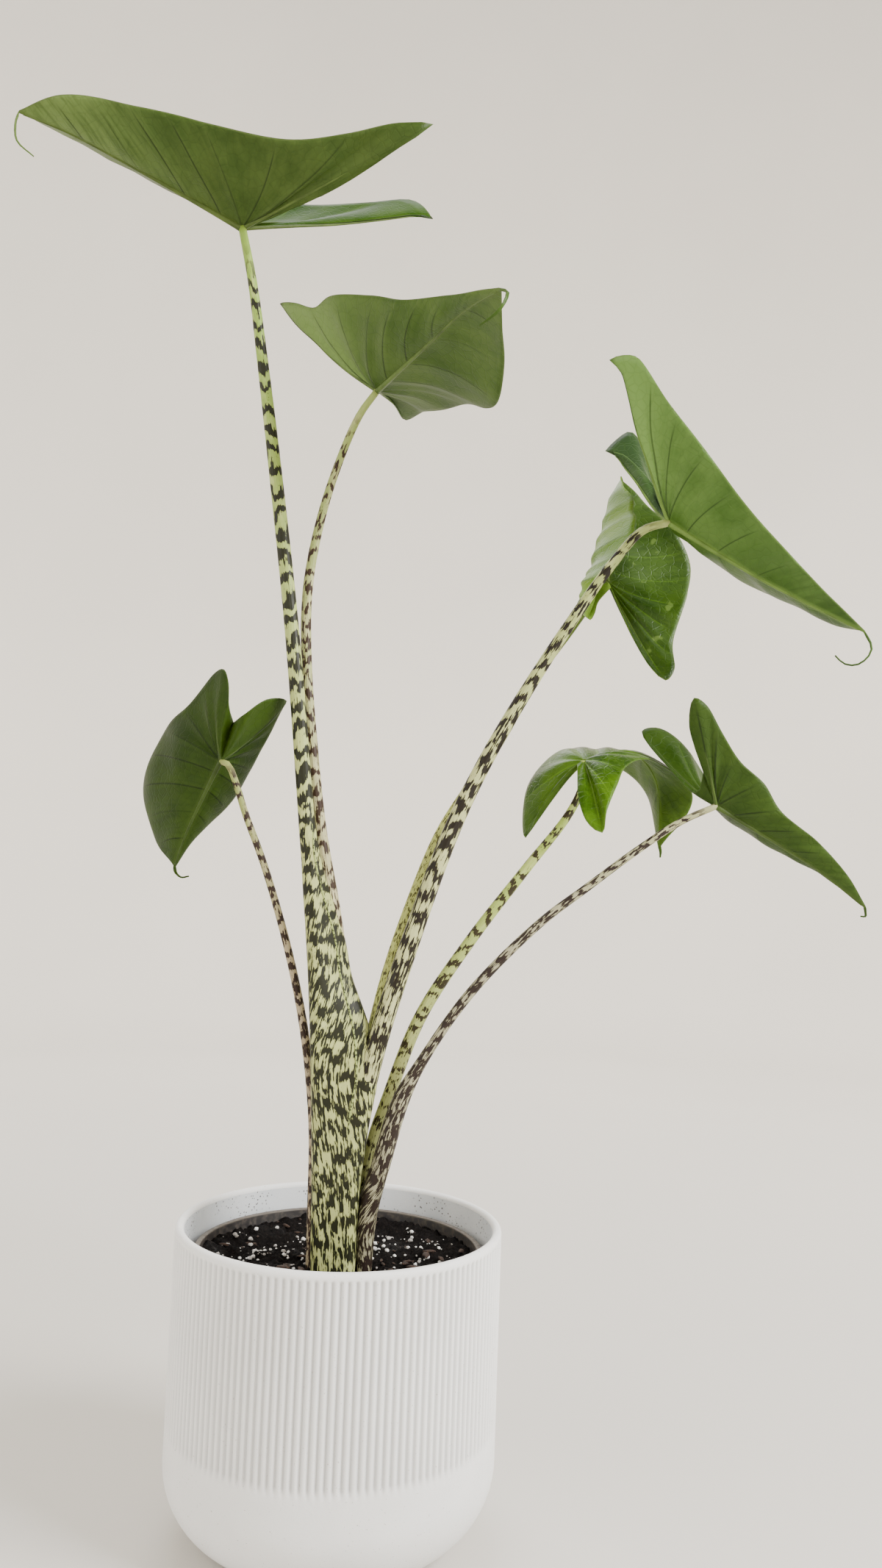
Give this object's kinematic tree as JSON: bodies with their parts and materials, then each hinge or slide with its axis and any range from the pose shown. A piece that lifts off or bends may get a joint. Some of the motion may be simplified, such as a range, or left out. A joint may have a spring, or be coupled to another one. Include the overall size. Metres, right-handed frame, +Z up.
{
  "type": "potted zebra alocasia",
  "caption": "Potted alocasia zebrina with arrow-shaped green blades on striped stalks, in a dark nursery pot standing in a white fluted round cover pot",
  "frame": {"origin": "middle of the flat face that the cover pot rests on", "axes": "+Z up; +Y points away from the side that the plant is pictured from; +X to the right as seen from that side"},
  "size_m": [0.5536, 0.2609, 0.8853],
  "materials": {
    "cover_pot": "matte white with fine vertical flutes",
    "nursery_pot": "dark matte",
    "potting_mix": "rough dark crumb",
    "corm": "rough brown",
    "stalk_tall": "satin",
    "stalk_upper": "satin",
    "stalk_large": "satin",
    "stalk_folded": "satin",
    "stalk_young": "satin",
    "stalk_low": "satin",
    "stalk_small": "satin",
    "blade_tall": "satin",
    "blade_upper": "satin",
    "blade_large": "satin",
    "blade_folded": "satin",
    "blade_young": "satin",
    "blade_low": "satin",
    "blade_small": "satin"
  },
  "bodies": {
    "root": {"cover_pot": "cover_pot", "nursery_pot": "nursery_pot", "potting_mix": "potting_mix", "corm": "corm", "stalk_tall": "stalk_tall", "stalk_upper": "stalk_upper", "stalk_large": "stalk_large", "stalk_folded": "stalk_folded", "stalk_young": "stalk_young", "stalk_low": "stalk_low", "stalk_small": "stalk_small", "blade_tall": "blade_tall", "blade_upper": "blade_upper", "blade_large": "blade_large", "blade_folded": "blade_folded", "blade_young": "blade_young", "blade_low": "blade_low", "blade_small": "blade_small"}
  },
  "joints": []
}
